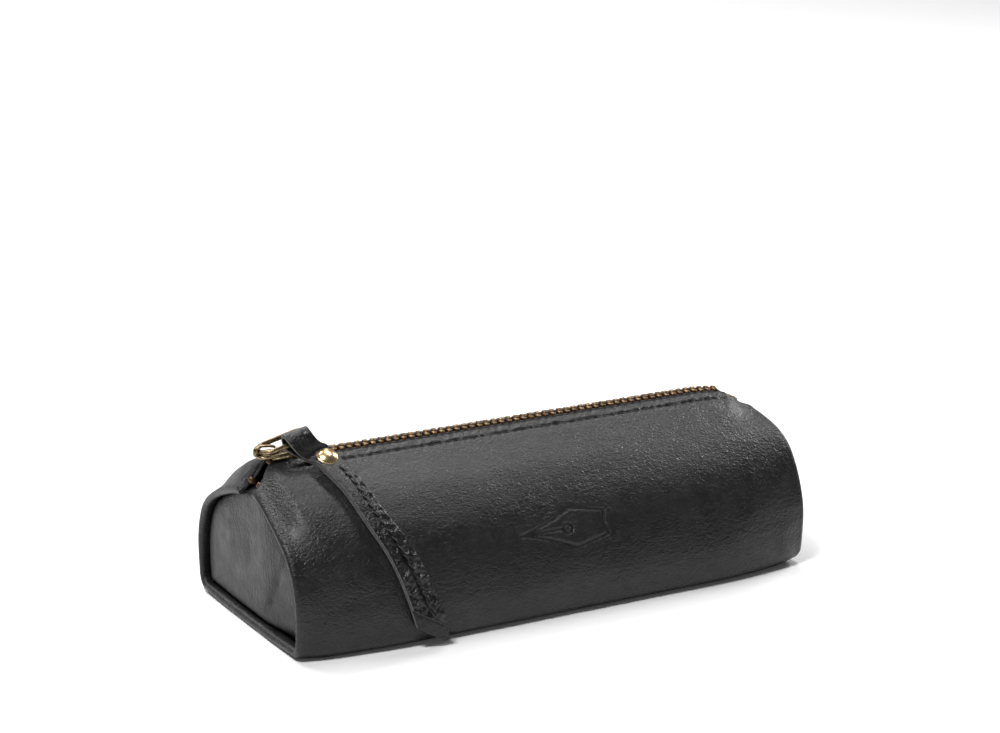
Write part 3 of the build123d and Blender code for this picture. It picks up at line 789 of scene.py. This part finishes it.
def shield(x0, x1, wide, narrow, power=3.2, count=48):
    """Rounded outline from x0 to x1 whose width goes from wide to narrow."""
    c, s = squared_circle(power, count)
    share = (c + 1) / 2
    half = (wide + (narrow - wide) * smooth(0.35, 0.9, share)) / 2
    return np.stack([x0 + (x1 - x0) * share, half * s], -1)


def make_slider():
    """Slider of two plates, joined by a wedge, with flanges that hold the rows of teeth."""
    x0, x1 = SLIDER_LOW[0], SLIDER_HIGH[0]
    low, high = SLIDER_LOW[2], SLIDER_HIGH[2]
    half = SLIDER_HIGH[1]
    plate = 1.05
    lower_x0 = x0 + 4.8
    flange_drop = 0.72
    body = Batch()
    rounded_plate(body, shield(x0, x1, 2 * half, 2 * half - 1.6), high - plate, high, edge=0.3)
    rounded_plate(body, shield(lower_x0, x1, 2 * half - 0.8, 2 * half - 2.2), low, low + plate)
    for row in ROWS.values():
        flange = shield(x0 + 5.0, x1 - 0.6, 0.9, 0.9, power=5, count=24) + (0, row * (half - 1.15))
        rounded_plate(body, flange, high - plate - flange_drop, high - plate + 0.2, edge=0.12)
    wedge = shield(x0 + 4.9, x0 + 8.0, 0.5, 0.4, power=4, count=20)
    rounded_plate(body, wedge, low + 0.5, high - 0.5, edge=0.05)
    body.make("brass_slider", [SLIDER_BRASS], "slider", "slider_body")


def bar_ring(point, across, up, wide, tall, power=3.0):
    """Ring of points of a rounded rectangular bar's section."""
    c, s = squared_circle(power, 16)
    return point + c[:, None] * across * wide / 2 + s[:, None] * up * tall / 2


def make_crown():
    """Bridge on the slider that the ring hangs in."""
    x0, x1, z0, z1 = CROWN_LOW[0], CROWN_HIGH[0], CROWN_LOW[2], CROWN_HIGH[2]
    bar = 0.9
    route = Curve([(x0 + bar / 2, z0 - 0.3), (x0 + bar / 2 + 0.05, z0 + 1.3), (x0 + 1.5, z1 - bar / 2 - 0.1),
                   (x0 + 4.4, z1 - bar / 2), (x1 - 3.4, z1 - bar / 2 - 0.25), (x1 - 1.3, z0 + 1.3),
                   (x1 - 0.7, z0 - 0.3)])
    points, slopes = route(np.linspace(0, route.length, 40))
    slopes = unit(slopes)
    rings = []
    for (x, z), (dx, dz), s in zip(points, slopes, np.linspace(-1, 1, 40)):
        wide = CROWN_HIGH[1] * 2 * (0.8 + 0.2 * s * s)
        rings.append(bar_ring(np.array([x, 0, z]), np.array([0, 1, 0]), np.array([-dz, 0, dx]), wide, bar))
    crown = Batch()
    crown.tube(np.array(rings))
    crown.make("brass_crown", [SLIDER_BRASS], "slider", "slider_crown")


def make_ring():
    """Cast oval ring with a squarer end where the strap hangs."""
    ring_low, ring_high = cad_box("pull_ring")
    bar_half = 0.8
    half = ring_high[1] - bar_half
    length = (ring_high[0] - ring_low[0] - 2 * bar_half) / RING_ALONG[0]
    radii = {-1: 4.2, 1: 1.6}
    path = []
    for sx, sy in ((-1, -1), (1, -1), (1, 1), (-1, 1)):
        r = radii[sx]
        corner = np.array([length / 2 + sx * (length / 2 - r), sy * (half - r)])
        start = {(-1, -1): 180, (1, -1): 270, (1, 1): 0, (-1, 1): 90}[(sx, sy)]
        for turn in np.radians(np.linspace(start, start + 90, 13)):
            path.append(corner + r * np.array([math.cos(turn), math.sin(turn)]))
    path = np.array(path)
    steps = np.linalg.norm(np.roll(path, -1, 0) - path, axis=1)
    at = np.concatenate([[0], np.cumsum(steps)])
    loop = np.concatenate([path, path[:1]])
    even = np.linspace(0, at[-1], 121)[:-1]
    path = np.stack([np.interp(even, at, loop[:, k]) for k in (0, 1)], -1)
    up = np.cross(RING_ALONG, (0, 1, 0))
    rings = []
    for before, here, after in zip(np.roll(path, 1, 0), path, np.roll(path, -1, 0)):
        way = unit(after - before)
        point = RING_HINGE + RING_ALONG * here[0] + np.array([0, here[1], 0])
        across = RING_ALONG * way[1] + np.array([0, -way[0], 0])
        rings.append(bar_ring(point, across, up, wide=1.5, tall=1.7, power=2.6))
    ring = Batch()
    ring.tube(np.array(rings), closed=True)
    ring.make("brass_ring", [SLIDER_BRASS], "ring", "pull_ring")


make_slider()
make_crown()
make_ring()

# ---------------------------------------------------------------- pull strap
STRAP = 1.2
FRONT_END, BACK_END = 0.892, 0.966  # where each tail's end is centred on the strap's route
CUT_SLANT = math.radians(46.0)
RIVET_AT = 0.138
FOLD_R = 2.55
FOLD_RISE = 0.9  # height of the fold's middle over the ring's bar
LAYER_GAP = 0.03
STRAP_STEP = 0.45  # rows of the front layer's mesh
BACK_COARSER = 1.6  # how much further apart the back layer's rows are
MIDDLE_COLUMNS = 33
# Route midway between the strap's two layers, from the ring down the front face.
STRAP_ROUTE = [(-75.6, -9.0, 59.5), (-73.3, -14.2, 56.6), (-70.9, -21.2, 52.5), (-68.8, -28.8, 47.0),
               (-66.9, -34.1, 42.1), (-62.5, -40.6, 33.2), (-59.8, -44.0, 26.1), (-57.6, -46.5, 19.0),
               (-55.7, -48.3, 12.0), (-54.0, -49.2, 5.6), (-53.0, -49.4, 1.2)]
LEAVE_DOWN, LEAVE_ALONG = 3.4, 0.9  # where the route passes below the ring's bar
leave = unit(np.array([0.12, -0.62, -0.62]))
leave = unit(leave - RING_ALONG * (leave @ RING_ALONG))
fold_middle = STRAP_HINGE + np.cross(RING_ALONG, (0, 1, 0)) * FOLD_RISE
below_ring = fold_middle + leave * LEAVE_DOWN + RING_ALONG * LEAVE_ALONG
strap_curve = Curve([fold_middle, below_ring, *STRAP_ROUTE])
fine = np.linspace(0, strap_curve.length, 800)
fine_points = strap_curve(fine)[0]
walked = np.concatenate([[0], np.cumsum(np.linalg.norm(np.diff(fine_points, axis=0), axis=1))])
STRAP_LENGTH = walked[-1]


def strap_frame(at):
    """Points on the route, directions down the strap, across it and out of the front, at shares at."""
    point, down = strap_curve(np.interp(np.asarray(at) * STRAP_LENGTH, walked, fine))
    down = unit(down)
    blend = np.clip(np.asarray(at) / RIVET_AT, 0, 1)[..., None]
    across = RING_ALONG * (1 - blend) + np.array([1.0, 0, 0]) * blend
    across = unit(across - down * (across * down).sum(-1, keepdims=True) * blend)
    return point, down, across, unit(np.cross(down, across))


def front_lift(at):
    """How far the front layer's tail curls away from the back layer."""
    return 0.5 * smooth(0.72, 0.9, at)


def strap_layer(sign, share, width_at, end):
    """Middles and directions of a layer at shares of its length, for places across the strap."""
    at = share[:, None] * (end + width_at * math.tan(CUT_SLANT) / STRAP_LENGTH * share[:, None] ** 9)
    point, _, across, out = strap_frame(np.clip(at, 0, 1))
    blend = smooth(0, 0.7 * RIVET_AT, at)
    gap = FOLD_R * (1 - blend) + (STRAP / 2 + LAYER_GAP) * blend
    gap = gap + (front_lift(at) if sign > 0 else 0)
    return at, point + out * (sign * gap)[..., None] + across * width_at[..., None], out * sign


def strap_width(at):
    """The strap is narrowest a third of the way down and widens to its end."""
    return 8.6 + 0.5 * bell(at, 0, 0.1) - 0.8 * bell(at, 0.36, 0.18) + 1.8 * smooth(0.5, 0.92, at)


SEAM_PLACES = [(0.2, 0.30), (0.45, 0.12), (0.7, 0.10), (0.9, 0.16)]  # (share down the strap, place across)
SEAM_FIRST, SEAM_LAST = 0.215, 0.875


def seam_place(at):
    """Where the row of stitches runs across the strap, from -1 to 1."""
    return np.interp(at, *zip(*SEAM_PLACES))


def strap_relief(at, across):
    """Puckers and crinkles of the strap's front, over its plain face; across is -1 to 1."""
    s = at * STRAP_LENGTH
    seam = smooth(0.2, 0.24, at) * smooth(0.9, 0.87, at)
    worn = smooth(0.42, 0.6, at)
    from_seam = across - seam_place(at)
    pull = 0.5 + 0.5 * np.cos(2 * math.pi * s / STITCH_PITCH)
    groove = bell(from_seam, 0.0, 0.12) * (0.3 + 0.26 * pull)
    right = smooth(0.02, 0.3, from_seam) * smooth(1.0, 0.8, across)
    puff = right * (0.26 + 0.46 * noise(s / 1.7 - across * 1.2, across * 1.1, 3) - 0.12 * pull)
    left = smooth(-1.0, -0.8, across) * smooth(0.0, -0.3, from_seam) * 0.08 * noise(s / 4, across * 1.5, 8)
    crinkle = 0.5 * noise(s / 1.3 + across * 1.6, across * 2.4, 21) + 0.26 * noise(s / 0.7, across * 5, 24)
    inner = smooth(1.0, 0.82, np.abs(across))
    return seam * (puff - groove) + left + worn * inner * crinkle


def make_strap():
    """One strip: up the front layer, round the ring and down the back layer, with raw cut edges."""
    step = STRAP_STEP / STRAP_LENGTH
    front = np.linspace(1, 0, round(FRONT_END / step))
    fold = np.radians(np.linspace(0, 180, 17))[1:-1]
    back = np.linspace(0, 1, round(BACK_END / step / BACK_COARSER))
    places = np.concatenate([[-1.0, -0.985], np.linspace(-0.94, 0.94, MIDDLE_COLUMNS), [0.985, 1.0]])
    thick = np.concatenate([[0.30, 0.44], np.full(MIDDLE_COLUMNS, 0.5), [0.44, 0.30]])
    layers = []
    for sign, share, end in ((1, front, FRONT_END), (-1, back, BACK_END)):
        width = strap_width(share[:, None] * end) / 2 * places[None, :]
        layers.append(strap_layer(sign, share, width, end))
    point, _, across, out = (v[0] for v in strap_frame(np.zeros(1)))
    turned = []
    for turn in fold:
        outward = out * math.cos(turn) + np.cross(out, across) * math.sin(turn)
        row = point + outward * FOLD_R + across * (strap_width(0) / 2 * places)[:, None]
        turned.append((row, np.tile(outward, (len(places), 1))))
    folded = [np.array(part) for part in zip(*turned)]
    middle = np.concatenate([layers[0][1], folded[0], layers[1][1]])
    outward = np.concatenate([layers[0][2], folded[1], layers[1][2]])
    lift = np.concatenate([strap_relief(layers[0][0], places[None, :] + 0 * layers[0][0]),
                           0.05 * noise(np.arange(len(fold))[:, None] / 4, places[None, :] * 2, 2),
                           0.04 * noise(np.arange(len(back))[:, None] / 6, places[None, :] * 2, 4)])
    top = middle + outward * (STRAP * thick + lift)[..., None]
    bottom = middle - outward * (STRAP * thick)[None, :, None]
    rings = np.concatenate([top, bottom[:, ::-1]], 1)
    columns = rings.shape[1]
    batch = Batch()
    batch.tube(rings)
    strap = batch.make("leather_strap", [STRAP_LEATHER, CUT_EDGE], "strap", "pull_strap")
    half = len(places)
    edge_columns = {0, half - 2, half - 1, half, columns - 2, columns - 1}
    for face in strap.data.polygons:
        end_cap = len(face.vertices) > 4
        if end_cap or face.index % columns in edge_columns:
            face.material_index = 1


make_strap()

RIVET_DOME = [(0.02, 1.75), (1.0, 1.68), (1.9, 1.46), (2.7, 1.1), (3.25, 0.72), (3.5, 0.5), (3.68, 0.46),
              (3.8, 0.3), (3.78, 0.08), (3.6, -0.05), (0.02, -0.05)]
RIVET_TAIL = [(0.02, 0.0), (1.22, 0.0), (1.24, -2.35), (2.7, -2.4), (3.05, -2.5), (3.1, -2.75), (2.8, -2.95),
              (1.4, -3.0), (1.0, -2.8), (0.02, -2.75)]


def make_rivet():
    """Domed rivet cap with a rolled rim, and the post and tail that hold it."""
    point, down, across, out = (v[0] for v in strap_frame(np.array([RIVET_AT])))
    dome_curve = Curve(RIVET_DOME[:-1])
    dome = [*dome_curve(np.linspace(0, dome_curve.length, 34))[0], RIVET_DOME[-1]]
    turn = np.linspace(0, 2 * math.pi, 48, endpoint=False)
    rim = np.cos(turn)[:, None] * across + np.sin(turn)[:, None] * down
    for name, node, outline in (("rivet_dome", "rivet_cap", dome), ("rivet_tail", "rivet_post", RIVET_TAIL)):
        batch = Batch()
        batch.tube(np.array([point + out * (STRAP + z) + rim * r for r, z in outline]))
        batch.make(name, [RIVET_BRASS], "strap", node)


make_rivet()


def make_strap_thread():
    """Row of stitches down the front layer."""
    count = round(STRAP_LENGTH * (SEAM_LAST - SEAM_FIRST) / STITCH_PITCH)
    seam = Batch()
    for at in np.linspace(SEAM_FIRST, SEAM_LAST, count):
        point, down, across, out = (v[0] for v in strap_frame(np.array([at])))
        place = across * seam_place(at) * strap_width(at) / 2
        lift = STRAP + 0.1 + front_lift(at)
        stitch(seam, point + out * lift + place, down, out, STRAP_THREAD_R, STRAP_SLANT)
    seam.make("thread_strap", [THREAD], "strap", "strap_stitching")


make_strap_thread()

# ---------------------------------------------------------------- studio
def floor_material():
    m = Nodes("studio_floor")
    m.set(Base_Color=(0.93, 0.93, 0.93, 1), Roughness=0.9, Specular_IOR_Level=0.1,
          Emission_Color=(1, 1, 1, 1), Emission_Strength=0.05)
    return m.material


def make_floor():
    """Plain white floor."""
    size = 6.0
    mesh = bpy.data.meshes.new("studio_floor")
    corners = [(-size, -size, 0), (size, -size, 0), (size, size, 0), (-size, size, 0)]
    mesh.from_pydata(corners, [], [(0, 1, 2, 3)])
    mesh.materials.append(floor_material())
    floor = add_object("studio_floor", mesh)


def point_at(thing, place, aim):
    """Moves a light or camera to place and turns it towards aim."""
    thing.location = place
    thing.rotation_mode = "QUATERNION"
    thing.rotation_quaternion = (Vector(aim) - Vector(place)).to_track_quat("-Z", "Y")


def softbox(name, place, aim, size, power):
    """Rectangular area light at place, turned towards aim, both in metres."""
    light = bpy.data.lights.new(name, "AREA")
    light.shape = "RECTANGLE"
    light.size, light.size_y = size
    light.energy = power
    point_at(add_object(name, light), place, aim)


def make_studio():
    make_floor()
    softbox("softbox_behind", (-0.25, 0.75, 1.15), (0, 0.05, 0), (0.5, 0.35), 11)
    softbox("softbox_front", (0.40, 0.2, 1.05), (-0.02, 0, 0.04), (0.5, 0.2), 6.0)
    softbox("softbox_left", (-0.45, -0.27, 0.95), (-0.08, 0, 0.04), (0.26, 0.22), 12)
    softbox("softbox_right", (1.05, 0.3, 0.6), (0.08, 0, 0.04), (0.35, 0.3), 10)
    softbox("softbox_far", (0, 2.5, 1.7), (0, 2.2, 0), (3.4, 1.2), 100)
    world = bpy.data.worlds.new("studio_air")
    world.use_nodes = True
    air = world.node_tree.nodes["Background"].inputs
    air["Color"].default_value = (1, 1, 1, 1)
    air["Strength"].default_value = 0.12
    bpy.context.scene.world = world
    bpy.context.scene.view_settings.view_transform = "Standard"
    bpy.context.scene.view_settings.exposure = -0.65


# The camera stands a metre away and looks over the case.
CAMERA_TURN, CAMERA_RISE, CAMERA_AWAY = math.radians(-29.12), math.radians(18.58), 1.0
CAMERA_AIM_UP, CAMERA_AIM_LEFT = 0.0457, 0.0016
CAMERA_LENS = 101.95
TURNS_ABOUT_Z = 0.030  # height of the point on the case that the camera is placed around


def make_camera():
    back = Vector((math.sin(CAMERA_TURN) * math.cos(CAMERA_RISE),
                   -math.cos(CAMERA_TURN) * math.cos(CAMERA_RISE), math.sin(CAMERA_RISE)))
    right = Vector((math.cos(CAMERA_TURN), math.sin(CAMERA_TURN), 0))
    middle = Vector((0, 0, TURNS_ABOUT_Z))
    place = middle + back * CAMERA_AWAY
    aim = middle + back.cross(right) * CAMERA_AIM_UP - right * CAMERA_AIM_LEFT
    data = bpy.data.cameras.new("camera")
    data.lens = CAMERA_LENS
    data.clip_start, data.clip_end = 0.05, 30
    camera = add_object("camera", data)
    point_at(camera, place, aim)
    bpy.context.scene.camera = camera


make_studio()
make_camera()
